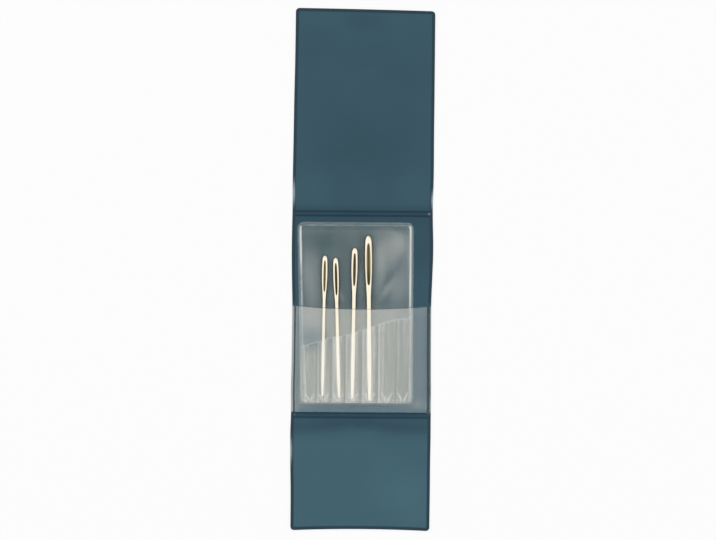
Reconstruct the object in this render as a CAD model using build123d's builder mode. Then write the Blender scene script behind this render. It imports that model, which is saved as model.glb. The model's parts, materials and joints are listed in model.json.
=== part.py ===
from build123d import *
import os
from math import cos, radians, sin, sqrt

# Four yarn needles in a clear insert with welded channels, kept in a vinyl wallet with two folds.
# The wallet lies open and face up: +X runs across it, +Y towards its long flap, +Z out of its lining.
# The origin is the middle of the open wallet's underside, and every length is in millimetres.

os.makedirs("parts", exist_ok=True)

# Wallet: two teal sheets welded together, scored across for the two folds
wallet_width = 60.0
long_flap_length = 87.8  # from the middle of the upper fold to the edge
panel_length = 87.1  # from the middle of one fold to the middle of the other
short_flap_length = 49.0  # from the middle of the lower fold to the edge
corner_radius = 1.6
cover_thickness = 0.3
lining_thickness = 0.25
rim_weld_inset = 1.4  # from the wallet's edge to the middle of the weld line
rim_weld_width = 0.5
rim_weld_depth = 0.1
score_spacing = 1.9  # between the two scored lines of a fold
score_width = 0.9
score_depth = 0.22
fold_gap = 0.1  # between two pieces that turn on one another
fold_clearance = 0.35  # between the closed flaps and what they cover

# Pocket: a frosted film welded to the middle panel at both sides and at its foot
pocket_film_thickness = 0.2
pocket_height = 46.3  # from the pocket's lower edge to the corners of its mouth
pocket_mouth_sag = 1.5
pocket_foot_weld = 0.8  # width of the welded strip along the pocket's lower edge
pocket_shoulder_run = 0.8
pocket_shoulder_rise = 0.65
pocket_headroom = 0.35  # over the highest channel
pocket_bend_radius = 1.2

# Insert: a clear back film and a channel film, welded along their rims and between the channels
insert_left_gap = 1.35  # from the pocket's left weld to the insert
insert_right_gap = 5.95
insert_foot_gap = 3.2  # from the pocket's lower edge to the insert
insert_head_gap = 2.75  # from the upper fold's nearer score to the insert
insert_corner_radius = 2.0
insert_film_thickness = 0.15
insert_clearance = 0.1  # between the insert and the lining
insert_weld_inset = 1.4
insert_weld_width = 0.4
insert_weld_depth = 0.05
channel_foot_inset = 0.8  # from the insert's lower edge to the closed end of the channels
channel_weld_width = 0.6
channel_end_length = 1.8  # over which a channel rounds down to its closed end
channel_width_shares = (0.95, 0.99, 0.85, 1.07, 1.06, 1.19, 0.89)  # of the mean width, left to right
mouth_low_height = 25.3  # of the channels' sloping mouth over the insert's lower edge, at the left
mouth_high_height = 37.8
empty_channel_rise = 0.6
channel_headroom = 0.25  # over the needle in a channel

# Needles, left to right: sizes, and how each one stands in its channel
needle_clearance = 0.1  # between a needle and the film it lies on
needle_1_length = 60.7
needle_1_shaft = 1.3
needle_1_eye = 2.7
needle_1_hole_length = 13.3
needle_1_hole_width = 1.25
needle_1_head = 2.1
needle_1_tip_gap = 2.8
needle_1_tip_offset = -0.6
needle_1_lean_degrees = 0.7
needle_2_length = 60.4
needle_2_shaft = 1.5
needle_2_eye = 2.85
needle_2_hole_length = 13.6
needle_2_hole_width = 1.2
needle_2_head = 2.3
needle_2_tip_gap = 2.2
needle_2_tip_offset = 0.48
needle_2_lean_degrees = -1.8
needle_3_length = 65.1
needle_3_shaft = 1.8
needle_3_eye = 3.0
needle_3_hole_length = 13.8
needle_3_hole_width = 1.3
needle_3_head = 2.35
needle_3_tip_gap = 1.8
needle_3_tip_offset = -0.22
needle_3_lean_degrees = 0.6
needle_4_length = 71.3
needle_4_shaft = 2.3
needle_4_eye = 3.4
needle_4_hole_length = 17.8
needle_4_hole_width = 1.75
needle_4_head = 3.5
needle_4_tip_gap = 0.9
needle_4_tip_offset = 0.16
needle_4_lean_degrees = -0.8
tip_radius_share = 0.24  # of the shaft's diameter, as the next four
taper_length_share = 5.5
neck_length_share = 2.8
neck_width_share = 1.07
eye_thickness_share = 0.7
neck_swell_share = 0.6  # of the way from the neck to the hole, where the flattening is half done
eye_shares = (0.12, 0.4, 0.75)  # of the way along the hole, where the head nears its full width
eye_width_shares = (0.75, 0.97, 1.0)  # of the eye's full width, at those places
crown_width_share = 0.9  # of the eye's full width, where the head's round end begins
crown_turns = (0, 30, 58, 84)  # degrees round the head's end from its side to its top
neck_rounding_share = 0.49  # of a section's smaller side, so that the neck starts out round
eye_rounding_share = 0.35  # and goes over into a bar with rounded edges
overrun = 1.0  # by which a cutter passes the piece it cuts

# Lines across the open wallet, along Y
top_edge = (long_flap_length + panel_length + short_flap_length) / 2
bottom_edge = -top_edge
upper_fold = top_edge - long_flap_length
lower_fold = bottom_edge + short_flap_length
upper_scores = (upper_fold - score_spacing / 2, upper_fold + score_spacing / 2)
lower_scores = (lower_fold + score_spacing / 2, lower_fold - score_spacing / 2)
half_width = wallet_width / 2
weld_inner_edge = half_width - rim_weld_inset - rim_weld_width / 2

# Levels, along Z
inner_face = cover_thickness + lining_thickness
insert_level = inner_face + insert_clearance
insert_face = insert_level + insert_film_thickness
needle_level = insert_face + needle_clearance

# The insert in the pocket
pocket_foot = lower_scores[0] + score_width / 2
insert_left = insert_left_gap - weld_inner_edge
insert_right = weld_inner_edge - insert_right_gap
insert_foot = pocket_foot + insert_foot_gap
insert_head = upper_scores[0] - insert_head_gap
channel_foot = insert_foot + channel_foot_inset
channels_left = insert_left + insert_weld_inset
channels_width = insert_right - insert_weld_inset - channels_left
channel_widths = [share * channels_width / sum(channel_width_shares) for share in channel_width_shares]
channel_centres = [
    channels_left + sum(channel_widths[:index]) + width / 2 for index, width in enumerate(channel_widths)
]

# The needles stand in the second to the fifth channel, and each channel arches over its own needle
needle_shafts = (needle_1_shaft, needle_2_shaft, needle_3_shaft, needle_4_shaft)
first_needle_channel = 1
channel_rises = [empty_channel_rise] * len(channel_widths)
for number, shaft in enumerate(needle_shafts):
    channel_rises[first_needle_channel + number] = needle_clearance + shaft + channel_headroom
highest_channel = max(channel_rises)
pocket_rise = insert_face + highest_channel + insert_film_thickness + pocket_headroom - inner_face
pocket_crest = inner_face + pocket_rise + pocket_film_thickness

# A fold is a strip that stands up as the closed wallet's edge, as high as what it has to pass
lower_strip_width = pocket_crest + fold_clearance - inner_face
upper_strip_width = lower_strip_width + inner_face + fold_clearance
upper_flap_line = upper_scores[0] + upper_strip_width
lower_flap_line = lower_scores[0] - lower_strip_width


def pressed_lines():
    """The weld line round the wallet's rim and the V of each scored line, as one cutter."""
    outer_inset = rim_weld_inset - rim_weld_width / 2
    inner_inset = rim_weld_inset + rim_weld_width / 2
    with BuildPart() as lines:
        with BuildSketch(Plane.XY.offset(inner_face - rim_weld_depth)):
            RectangleRounded(wallet_width - 2 * outer_inset, 2 * (top_edge - outer_inset), corner_radius)
            RectangleRounded(
                wallet_width - 2 * inner_inset,
                2 * (top_edge - inner_inset),
                corner_radius - rim_weld_width,
                mode=Mode.SUBTRACT,
            )
        extrude(amount=rim_weld_depth + overrun)
        with BuildSketch(Plane.YZ.offset(-half_width - overrun)):
            for line in upper_scores + lower_scores:
                with BuildLine():
                    Polyline(
                        (line - score_width / 2, inner_face + overrun),
                        (line - score_width / 2, inner_face),
                        (line, inner_face - score_depth),
                        (line + score_width / 2, inner_face),
                        (line + score_width / 2, inner_face + overrun),
                        close=True,
                    )
                make_face()
        extrude(amount=wallet_width + 2 * overrun)
    return lines


def ply(level, thickness, start, end):
    """One sheet of the wallet from one line across it to another, with rounded corners at its free end."""
    low, high = min(start, end), max(start, end)
    with BuildPart() as sheet:
        with BuildSketch(Plane.XY.offset(level)):
            with Locations((0, (low + high) / 2)):
                Rectangle(wallet_width, high - low)
        extrude(amount=thickness)
        uprights = sheet.edges().filter_by(Axis.Z).group_by(Axis.Y)
        if high == top_edge:
            fillet(uprights[-1], corner_radius)
        if low == bottom_edge:
            fillet(uprights[0], corner_radius)
        add(press.part, mode=Mode.SUBTRACT)
    return sheet


def pocket_space(grown):
    """The room inside the bulging pocket film, or with grown set, the film's outside."""
    base = weld_inner_edge - 2 * pocket_film_thickness
    foot = pocket_foot + pocket_foot_weld
    slope_end = channel_foot + channel_end_length / 2
    shoulder = inner_face + pocket_shoulder_rise
    crest = inner_face + pocket_rise
    with BuildPart() as space:
        with BuildSketch(Plane.XZ.offset(-pocket_foot)) as across:
            with BuildLine():
                ThreePointArc(
                    (pocket_shoulder_run - base, shoulder),
                    (0, crest),
                    (base - pocket_shoulder_run, shoulder),
                )
                Polyline(
                    (base - pocket_shoulder_run, shoulder),
                    (base, inner_face),
                    (-base, inner_face),
                    (pocket_shoulder_run - base, shoulder),
                )
            make_face()
            fillet(across.vertices().group_by(Axis.Y)[-1], pocket_bend_radius)
            if grown:
                offset(amount=pocket_film_thickness)
        extrude(amount=-pocket_height - overrun)
        with BuildSketch(Plane.YZ.offset(-half_width)) as along:
            with BuildLine():
                Polyline(
                    (foot, inner_face),
                    (slope_end, crest),
                    (pocket_foot + pocket_height + overrun, crest),
                    (pocket_foot + pocket_height + overrun, inner_face),
                    close=True,
                )
            make_face()
            fillet(along.vertices().sort_by_distance((slope_end, crest))[0], pocket_bend_radius)
            if grown:
                offset(amount=pocket_film_thickness)
        extrude(amount=wallet_width, mode=Mode.INTERSECT)
    return space


def pocket():
    """The frosted film: a flat welded border on three sides, and a bulge open at the sagging mouth."""
    outside = pocket_space(True)
    inside = pocket_space(False)
    mouth = pocket_foot + pocket_height
    with BuildPart() as film:
        with BuildSketch(Plane.XY.offset(inner_face)):
            with Locations((0, pocket_foot + pocket_height / 2)):
                Rectangle(wallet_width, pocket_height)
        extrude(amount=pocket_film_thickness)
        add(outside.part)
        add(inside.part, mode=Mode.SUBTRACT)
        with BuildSketch(Plane.XY):
            with Locations((0, pocket_foot + pocket_height / 2)):
                Rectangle(wallet_width + 2 * overrun, pocket_height + 4 * overrun)
        extrude(amount=inner_face, mode=Mode.SUBTRACT)
        with BuildSketch(Plane.XY):
            with BuildLine():
                ThreePointArc((-half_width, mouth), (0, mouth - pocket_mouth_sag), (half_width, mouth))
                Polyline(
                    (half_width, mouth),
                    (half_width + overrun, mouth),
                    (half_width + overrun, mouth + 2 * overrun),
                    (-half_width - overrun, mouth + 2 * overrun),
                    (-half_width - overrun, mouth),
                    (-half_width, mouth),
                )
            make_face()
        extrude(amount=pocket_crest + overrun, mode=Mode.SUBTRACT)
        with BuildSketch(Plane.XY.offset(inner_face + pocket_film_thickness - rim_weld_depth)):
            with Locations((0, pocket_foot + pocket_height / 2)):
                with Locations((half_width - rim_weld_inset, 0), (rim_weld_inset - half_width, 0)):
                    Rectangle(rim_weld_width, pocket_height)
        extrude(amount=rim_weld_depth, mode=Mode.SUBTRACT)
    return film


def insert_outline():
    """The insert's outline, for a sketch at either film's level."""
    with BuildSketch(Plane.XY) as outline:
        with Locations(((insert_left + insert_right) / 2, (insert_foot + insert_head) / 2)):
            RectangleRounded(insert_right - insert_left, insert_head - insert_foot, insert_corner_radius)
    return outline.sketch


def insert_back():
    """The insert's full-size back film, with its pressed weld line."""
    centre = ((insert_left + insert_right) / 2, (insert_foot + insert_head) / 2)
    outer_inset = insert_weld_inset - insert_weld_width / 2
    inner_inset = insert_weld_inset + insert_weld_width / 2
    width, height = insert_right - insert_left, insert_head - insert_foot
    with BuildPart() as film:
        with BuildSketch(Plane.XY.offset(insert_level)):
            add(insert_outline())
        extrude(amount=insert_film_thickness)
        with BuildSketch(Plane.XY.offset(insert_face - insert_weld_depth)):
            with Locations(centre):
                RectangleRounded(width - 2 * outer_inset, height - 2 * outer_inset, insert_weld_inset)
                RectangleRounded(
                    width - 2 * inner_inset,
                    height - 2 * inner_inset,
                    insert_weld_inset - insert_weld_width,
                    mode=Mode.SUBTRACT,
                )
        extrude(amount=insert_weld_depth, mode=Mode.SUBTRACT)
    return film


def channel_space(grown):
    """The room inside the seven channels, or with grown set, the outside of the film over them."""
    wall = insert_film_thickness if grown else 0
    reach = mouth_high_height + overrun
    with BuildPart() as space:
        with BuildSketch(Plane.XZ.offset(-insert_foot)):
            for centre, width, rise in zip(channel_centres, channel_widths, channel_rises):
                half_span = (width - channel_weld_width) / 2
                radius = (half_span**2 + rise**2) / (2 * rise)
                foot = sqrt((radius + wall) ** 2 - (radius - rise) ** 2)
                with BuildLine():
                    ThreePointArc(
                        (centre - foot, insert_face), (centre, insert_face + rise + wall), (centre + foot, insert_face)
                    )
                    Line((centre + foot, insert_face), (centre - foot, insert_face))
                make_face()
        extrude(amount=-reach)
        with BuildSketch(Plane.YZ.offset(-half_width)):
            top = highest_channel + channel_headroom + wall
            with BuildLine():
                EllipticalCenterArc(
                    (channel_foot + channel_end_length, insert_face), channel_end_length + wall, top, 90, arc_size=90
                )
                Polyline(
                    (channel_foot - wall, insert_face),
                    (insert_foot + reach, insert_face),
                    (insert_foot + reach, insert_face + top),
                    (channel_foot + channel_end_length, insert_face + top),
                )
            make_face()
        extrude(amount=wallet_width, mode=Mode.INTERSECT)
    return space


def insert_channels():
    """The insert's front film: seven arched channels between welds, under a sloping mouth."""
    slope = (mouth_high_height - mouth_low_height) / (insert_right - insert_left)
    with BuildPart() as film:
        with BuildSketch(Plane.XY.offset(insert_face)):
            add(insert_outline())
        extrude(amount=insert_film_thickness)
        add(channel_space(True).part)
        add(channel_space(False).part, mode=Mode.SUBTRACT)
        with BuildSketch(Plane.XY.offset(insert_face)):
            with BuildLine():
                Polyline(
                    (insert_left - overrun, insert_foot + mouth_low_height - slope * overrun),
                    (insert_right + overrun, insert_foot + mouth_high_height + slope * overrun),
                    (insert_right + overrun, insert_head + overrun),
                    (insert_left - overrun, insert_head + overrun),
                    close=True,
                )
            make_face()
        extrude(amount=highest_channel + overrun, mode=Mode.SUBTRACT)
    return film


def needle(length, shaft, eye, hole_length, hole_width, head, tip, lean_degrees):
    """A yarn needle: blunt tip, slow taper, round shaft, and a flattened head round a long oval eye."""
    lying = Plane(Location(tip, (0, 0, -lean_degrees)))
    facing = Plane(origin=tip, x_dir=lying.x_dir, z_dir=lying.y_dir)
    radius, tip_radius, taper = shaft / 2, shaft * tip_radius_share, shaft * taper_length_share
    hole_top = length - head
    hole_foot = hole_top - hole_length
    neck = hole_foot - shaft * neck_length_share
    swell = neck + neck_swell_share * (hole_foot - neck)
    thickness = shaft * eye_thickness_share

    sections = [
        (neck, shaft, shaft, neck_rounding_share),
        (swell, neck_width_share * shaft, (shaft + thickness) / 2, neck_rounding_share),
    ]
    for along, across in zip(eye_shares, eye_width_shares):
        sections.append((hole_foot + along * hole_length, across * eye, thickness, eye_rounding_share))
    for turn in crown_turns:
        narrowing = cos(radians(turn))
        crown_width = crown_width_share * eye * narrowing
        crown_depth = thickness * sqrt(narrowing)
        sections.append((hole_top + head * sin(radians(turn)), crown_width, crown_depth, eye_rounding_share))

    with BuildPart() as body:
        with BuildSketch(lying):
            with BuildLine():
                Line((0, 0), (0, neck))
                Polyline((0, neck), (radius, neck), (radius, taper), (tip_radius, tip_radius))
                RadiusArc((tip_radius, tip_radius), (0, 0), tip_radius)
            make_face()
        revolve(axis=Axis(tip, lying.y_dir))
        for place, width, depth, rounding in sections:
            with BuildSketch(facing.offset(place)):
                RectangleRounded(width, depth, rounding * min(width, depth))
        loft(ruled=True)
        with BuildSketch(lying):
            with Locations((0, hole_foot + hole_length / 2)):
                Ellipse(hole_width / 2, hole_length / 2)
        extrude(amount=thickness, both=True, mode=Mode.SUBTRACT)
    return body


press = pressed_lines()

middle_cover = ply(0, cover_thickness, lower_scores[0] + fold_gap / 2, upper_scores[0] - fold_gap / 2)
middle_lining = ply(
    cover_thickness, lining_thickness, lower_scores[0] + fold_gap / 2, upper_scores[0] - fold_gap / 2
)
upper_fold_strip = ply(0, inner_face, upper_scores[0] + fold_gap / 2, upper_flap_line - fold_gap / 2)
lower_fold_strip = ply(0, inner_face, lower_scores[0] - fold_gap / 2, lower_flap_line + fold_gap / 2)
long_flap_cover = ply(0, cover_thickness, upper_flap_line + fold_gap / 2, top_edge)
long_flap_lining = ply(cover_thickness, lining_thickness, upper_flap_line + fold_gap / 2, top_edge)
short_flap_cover = ply(0, cover_thickness, lower_flap_line - fold_gap / 2, bottom_edge)
short_flap_lining = ply(cover_thickness, lining_thickness, lower_flap_line - fold_gap / 2, bottom_edge)
pocket_film = pocket()
insert_back_film = insert_back()
insert_channel_film = insert_channels()

pieces = {
    "middle_cover": middle_cover,
    "middle_lining": middle_lining,
    "upper_fold_strip": upper_fold_strip,
    "lower_fold_strip": lower_fold_strip,
    "long_flap_cover": long_flap_cover,
    "long_flap_lining": long_flap_lining,
    "short_flap_cover": short_flap_cover,
    "short_flap_lining": short_flap_lining,
    "pocket_film": pocket_film,
    "insert_back_film": insert_back_film,
    "insert_channel_film": insert_channel_film,
}

needle_sizes = (
    (needle_1_length, needle_1_shaft, needle_1_eye, needle_1_hole_length, needle_1_hole_width, needle_1_head),
    (needle_2_length, needle_2_shaft, needle_2_eye, needle_2_hole_length, needle_2_hole_width, needle_2_head),
    (needle_3_length, needle_3_shaft, needle_3_eye, needle_3_hole_length, needle_3_hole_width, needle_3_head),
    (needle_4_length, needle_4_shaft, needle_4_eye, needle_4_hole_length, needle_4_hole_width, needle_4_head),
)
needle_stands = (
    (needle_1_tip_gap, needle_1_tip_offset, needle_1_lean_degrees),
    (needle_2_tip_gap, needle_2_tip_offset, needle_2_lean_degrees),
    (needle_3_tip_gap, needle_3_tip_offset, needle_3_lean_degrees),
    (needle_4_tip_gap, needle_4_tip_offset, needle_4_lean_degrees),
)
for number, (sizes, stand) in enumerate(zip(needle_sizes, needle_stands)):
    tip_gap, tip_offset, lean_degrees = stand
    centre = channel_centres[first_needle_channel + number]
    tip = (centre + tip_offset, channel_foot + tip_gap, needle_level + needle_shafts[number] / 2)
    pieces[f"needle_{number + 1}"] = needle(*sizes, tip, lean_degrees)
    print(f"needle {number + 1}: tip at {tip}, leaning {lean_degrees} degrees")

for name, piece in pieces.items():
    piece.part.label = name
    export_step(piece.part, f"parts/{name}.step")

print(f"upper fold turns at y = {upper_scores[0]:.3f} and {upper_flap_line:.3f}, z = {inner_face:.3f}")
print(f"lower fold turns at y = {lower_scores[0]:.3f} and {lower_flap_line:.3f}, z = {inner_face:.3f}")
print(f"insert from ({insert_left:.3f}, {insert_foot:.3f}) to ({insert_right:.3f}, {insert_head:.3f})")
print(f"pocket from y = {pocket_foot:.3f} to {pocket_foot + pocket_height:.3f}, crest {pocket_crest:.3f}")
print(f"channels end at y = {channel_foot:.3f}, welds from x = {channels_left:.3f}, widths {channel_widths}")
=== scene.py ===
# %% [markdown]
# # Yarn needles in their folding vinyl wallet
# The imported CAD model is the frame: it gives every size, place and joint, and nothing here moves it. What the
# script adds is the look of the real thing: soft vinyl sheet, clear and frosted film and gold-plated steel.

# %% Load the frame
import json
from math import ceil, cos, pi, radians, sin, sqrt

import bpy
import numpy as np
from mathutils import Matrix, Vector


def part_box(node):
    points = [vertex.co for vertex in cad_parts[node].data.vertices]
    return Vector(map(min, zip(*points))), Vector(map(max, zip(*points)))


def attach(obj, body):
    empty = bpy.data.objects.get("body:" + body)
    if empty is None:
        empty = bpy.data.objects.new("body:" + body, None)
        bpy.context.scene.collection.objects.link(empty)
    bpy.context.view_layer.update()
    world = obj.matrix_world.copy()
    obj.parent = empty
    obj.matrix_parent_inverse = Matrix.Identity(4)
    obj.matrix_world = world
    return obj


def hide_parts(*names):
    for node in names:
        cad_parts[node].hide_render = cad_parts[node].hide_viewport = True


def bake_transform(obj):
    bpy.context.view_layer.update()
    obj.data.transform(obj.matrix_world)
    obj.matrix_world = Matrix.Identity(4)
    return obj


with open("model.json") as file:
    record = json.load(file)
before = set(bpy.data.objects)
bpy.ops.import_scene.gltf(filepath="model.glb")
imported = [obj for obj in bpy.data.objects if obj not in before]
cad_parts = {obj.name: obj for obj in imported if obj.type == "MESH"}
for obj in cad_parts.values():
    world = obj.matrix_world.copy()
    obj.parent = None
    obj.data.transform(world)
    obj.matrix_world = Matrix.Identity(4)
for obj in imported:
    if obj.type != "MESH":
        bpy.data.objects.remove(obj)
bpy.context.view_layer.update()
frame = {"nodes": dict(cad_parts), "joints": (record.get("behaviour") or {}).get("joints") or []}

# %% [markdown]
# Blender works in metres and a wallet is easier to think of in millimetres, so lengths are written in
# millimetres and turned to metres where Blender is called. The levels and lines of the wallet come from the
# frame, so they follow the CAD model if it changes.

mm = 0.001


def node_box(node):
    """A CAD node's lowest and highest corner, in millimetres."""
    low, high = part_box(node)
    return low / mm, high / mm


panel_low, panel_high = node_box("middle_lining")
long_low, long_high = node_box("long_flap_lining")
short_low, short_high = node_box("short_flap_lining")
pocket_low, pocket_high = node_box("pocket_film")
insert_low, insert_high = node_box("insert_back_film")
crease = {joint["name"]: joint["pos_m"][1] / mm for joint in frame["joints"] if joint["type"] == "hinge"}

half_width = panel_high.x
cover_top = panel_low.z
inner_face = panel_high.z
top_edge = long_high.y
bottom_edge = short_low.y
print(f"wallet {2 * half_width:.1f} mm wide and {top_edge - bottom_edge:.1f} mm long")
print(f"inner face at {inner_face:.2f} mm, creases at", {name: round(y, 2) for name, y in crease.items()})

# %% [markdown]
# Every sheet and film starts as a plane at its size and place, cut by straight lines where its shape is
# going to change: many where it is pressed or folded, few where it is plain. `choose` makes sure that an
# operator acts on one object only, because the frame's own pieces come in selected.

# %% Cut a sheet from a plane
def choose(obj):
    """Deselects everything, then makes obj the only one that operators act on."""
    bpy.ops.object.select_all(action="DESELECT")
    obj.select_set(True)
    bpy.context.view_layer.objects.active = obj


def spaced(start, end, step):
    """Places from start to end, evenly spaced and no more than step apart."""
    count = max(1, ceil(abs(end - start) / step))
    return [start + (end - start) * index / count for index in range(count + 1)]


def inset_lines(low, high, insets, step=None):
    """The places these insets inside low and high, and with a step, even ones between the last of them."""
    between = spaced(low + insets[-1], high - insets[-1], step) if step else []
    return [low + inset for inset in insets] + [high - inset for inset in insets] + between


def runs(start, *stretches):
    """Places from start through stretches that each have an end and a greatest spacing."""
    places = [start]
    for end, step in stretches:
        places += spaced(places[-1], end, step)
    return places


def cut_sheet(name, across, along):
    """A plane in the XY plane with an edge at each place across it (X) and along it (Y), in millimetres."""
    across, along = (sorted({round(place, 4) for place in places}) for places in (across, along))
    centre = ((across[0] + across[-1]) / 2 * mm, (along[0] + along[-1]) / 2 * mm, 0)
    bpy.ops.object.select_all(action="DESELECT")
    bpy.ops.mesh.primitive_plane_add(size=1, location=centre)
    sheet = bpy.context.object
    sheet.name = name
    sheet.scale = ((across[-1] - across[0]) * mm, (along[-1] - along[0]) * mm, 1)
    bpy.ops.object.transform_apply(location=True, rotation=False, scale=True)
    cuts = [((x * mm, 0, 0), (1, 0, 0)) for x in across[1:-1]]
    cuts += [((0, y * mm, 0), (0, 1, 0)) for y in along[1:-1]]
    bpy.ops.object.mode_set(mode="EDIT")
    for point, normal in cuts:
        bpy.ops.mesh.select_all(action="SELECT")
        bpy.ops.mesh.bisect(plane_co=point, plane_no=normal, threshold=1e-7)
    bpy.ops.object.mode_set(mode="OBJECT")
    return sheet


# %% [markdown]
# A soft sheet is shaped by moving its vertices by a formula, the way a sculptor pushes clay, because no
# single operator knows how vinyl lies. Before that, each vertex remembers its place on the flat sheet. A
# pattern that reads this place stays on the vinyl when the wallet folds.

# %% Move vertices, and keep numbers on them
def vertex_places(obj):
    """The vertices of obj as columns x, y and z, in millimetres."""
    points = np.empty(len(obj.data.vertices) * 3)
    obj.data.vertices.foreach_get("co", points)
    return points.reshape(-1, 3).T / mm


def move_vertices(obj, x, y, z):
    """Puts the vertices of obj at these places, in millimetres."""
    obj.data.vertices.foreach_set("co", (np.column_stack((x, y, z)) * mm).ravel())
    obj.data.update()


def remember_flat(obj):
    """Keeps each vertex's place on the flat sheet, in metres, as the attribute flat."""
    flat = np.ascontiguousarray(vertex_places(obj).T * mm, dtype=np.float32)
    obj.data.attributes.new("flat", "FLOAT_VECTOR", "POINT").data.foreach_set("vector", flat.ravel())


def keep_number(obj, name, values):
    """Keeps one number for each vertex, from 0 to 1, as an attribute that a material can read."""
    numbers = np.clip(values, 0, 1).astype(np.float32)
    obj.data.attributes.new(name, "FLOAT", "POINT").data.foreach_set("value", numbers)


def thicken(obj, thickness, upwards):
    """Gives the sheet its thickness, in millimetres, on one side, and applies the modifier."""
    choose(obj)
    wall = obj.modifiers.new("wall", "SOLIDIFY")
    wall.thickness = thickness * mm
    wall.offset = 1 if upwards else -1
    bpy.ops.object.modifier_apply(modifier=wall.name)


# %% [markdown]
# The formulas are put together from three soft shapes: a step, a hump and an oval patch. Each map, of painted
# light and shade on the vinyl and of haze and painted light on a film, is a base number that a few of them
# change, so each map can be written as a short table.

# %% Soft steps, humps and patches
def smooth_step(value, start, end):
    """0 at start and before, 1 at end and past it, with a soft change between them."""
    share = np.clip((value - start) / (end - start), 0, 1)
    return share * share * (3 - 2 * share)


def hump(value, centre, reach):
    """1 at centre, falling softly to 0 at reach away from it."""
    return 1 - smooth_step(np.abs(value - centre), 0, reach)


def within(value, low, high):
    """How far value lies inside the nearer of two limits."""
    return np.minimum(value - low, high - value)


def patch(x, y, centre, reach, turn=0):
    """1 at the centre of a soft oval patch and 0 outside its reach, turned anticlockwise by degrees."""
    along_x, along_y = x - centre[0], y - centre[1]
    across = along_x * cos(radians(turn)) + along_y * sin(radians(turn))
    up = along_y * cos(radians(turn)) - along_x * sin(radians(turn))
    return 1 - smooth_step(np.hypot(across / reach[0], up / reach[1]), 0, 1)


def number_map(x, y, base, steps=(), bands=(), patches=()):
    """The base with its changes, each by its last number: steps and bands along Y, and oval patches."""
    value = base + sum(change * smooth_step(y, start, end) for start, end, change in steps)
    value = value + sum(change * hump(y, centre, reach) for centre, reach, change in bands)
    return value + sum(change * patch(x, y, centre, reach, turn) for centre, reach, turn, change in patches)


def through(value, points):
    """A line through a few given (place, height) points, with its corners smoothed."""
    places, heights = zip(*points)
    spread = (places[-1] - places[0]) / 100
    return sum(np.interp(value + spread * step, places, heights) for step in (-2, -1, 0, 1, 2)) / 5


# %% [markdown]
# The wallet is two sheets of vinyl, welded together round the rim by a heated bar. The real one doesn't lie
# dead straight: its flaps lean a little and its edges wander by half a millimetre. `lie` gives every sheet
# and the pocket film the same small wander, so that they stay together. A cloth simulation could have made a
# wander, but a few measured points are closer to this wallet.

# %% How the wallet lies
corner_radius = 1.6
left_wander = (  # place along the wallet, and how far its left edge is moved to the right there
    (-113, 0), (-95, 0), (-82, -0.3), (-68, -0.38), (-62, 0.05), (-52, -0.25), (-43, 0), (-14, 0.2),
    (-4.5, -0.1), (8.5, -0.28), (19, -0.17), (26, 0.03), (34, -0.12), (56, 0.2), (73, 0.36), (86, 0.62),
    (99, 0.76), (113, 0.85),
)
right_wander = (
    (-113, -0.03), (-95, 0.12), (-82, 0.13), (-69, 0.33), (-62.5, 0.2), (-57, 0.36), (-50, 0.28),
    (-35, 0.16), (-14, 0.12), (-4.5, 0.5), (8.5, 0.95), (19, 0.67), (25, 0.46), (34, 0.75), (43, 0.92),
    (56, 0.87), (73, 0.96), (99, 1.02), (113, 1.05),
)
top_left_rise = 0.9
top_right_drop = 0.2
top_bow = 0.13
bottom_drop = 0.08
bottom_bow = 0.7


def lie(x, y):
    """Where a point of the flat wallet comes to lie on the table, in X and Y."""
    share = (x + half_width) / (2 * half_width)
    moved_x = x + (1 - share) * through(y, left_wander) + share * through(y, right_wander)
    upper = smooth_step(y, long_low.y, top_edge)
    lower = smooth_step(y, short_high.y, bottom_edge)
    middle = 1 - (x / half_width) ** 2
    moved_y = y + upper * (top_left_rise - share * (top_left_rise + top_right_drop) + top_bow * middle)
    return moved_x, moved_y - lower * (bottom_drop + bottom_bow * (1 - middle))


def round_corners(x, y, low, high, radius):
    """Draws the square corners of a sheet in to a radius."""
    centre_x, centre_y = (low[0] + high[0]) / 2, (low[1] + high[1]) / 2
    from_side = np.abs(x - centre_x) - (high[0] - low[0]) / 2 + radius
    from_end = np.abs(y - centre_y) - (high[1] - low[1]) / 2 + radius
    reach = np.maximum(np.hypot(from_side, from_end), 1e-9)
    corner = (from_side > 0) & (from_end > 0)
    pull = np.where(corner, np.maximum(from_side, from_end) / reach, 1) - 1
    return x + np.sign(x - centre_x) * from_side * pull, y + np.sign(y - centre_y) * from_end * pull


corner_x, corner_y = lie(half_width, top_edge)
print(f"top right corner moved by {corner_x - half_width:.2f} and {corner_y - top_edge:.2f} mm")

# %% [markdown]
# The press leaves three marks in the vinyl. A fine weld line runs round the rim, 1.2 mm in. The band outside
# it is squeezed a little thinner. And each fold has two scored lines close together, where the sheet bends.
# They are tenths of a millimetre deep, but they catch the light and are what the eye takes for real vinyl.

# %% Press marks
rim_weld_inset = 1.2
rim_weld_half = 0.28
rim_weld_depth = 0.1
rim_squeeze = 0.05
edge_rounding = 0.14
score_spacing = 1.9
score_half = 0.5
score_depth = 0.2
upper_score, lower_score = crease["upper_fold_near"], crease["lower_fold_near"]
scores = (upper_score, upper_score + score_spacing, lower_score, lower_score - score_spacing)


def from_rim(x, y):
    """How far a point of the flat wallet lies inside its rim."""
    return np.minimum(within(x, -half_width, half_width), within(y, bottom_edge, top_edge))


def rim_press(x, y):
    """How deep the rim is pressed: a rounded edge, a squeezed band and the weld line."""
    inside = from_rim(x, y)
    edge = edge_rounding * (1 - np.sqrt(1 - np.clip(1 - inside / edge_rounding, 0, 1) ** 2))
    in_band = 1 - smooth_step(inside, rim_weld_inset - rim_weld_half, rim_weld_inset + rim_weld_half)
    return edge + rim_squeeze * in_band + rim_weld_depth * hump(inside, rim_weld_inset, rim_weld_half)


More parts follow.
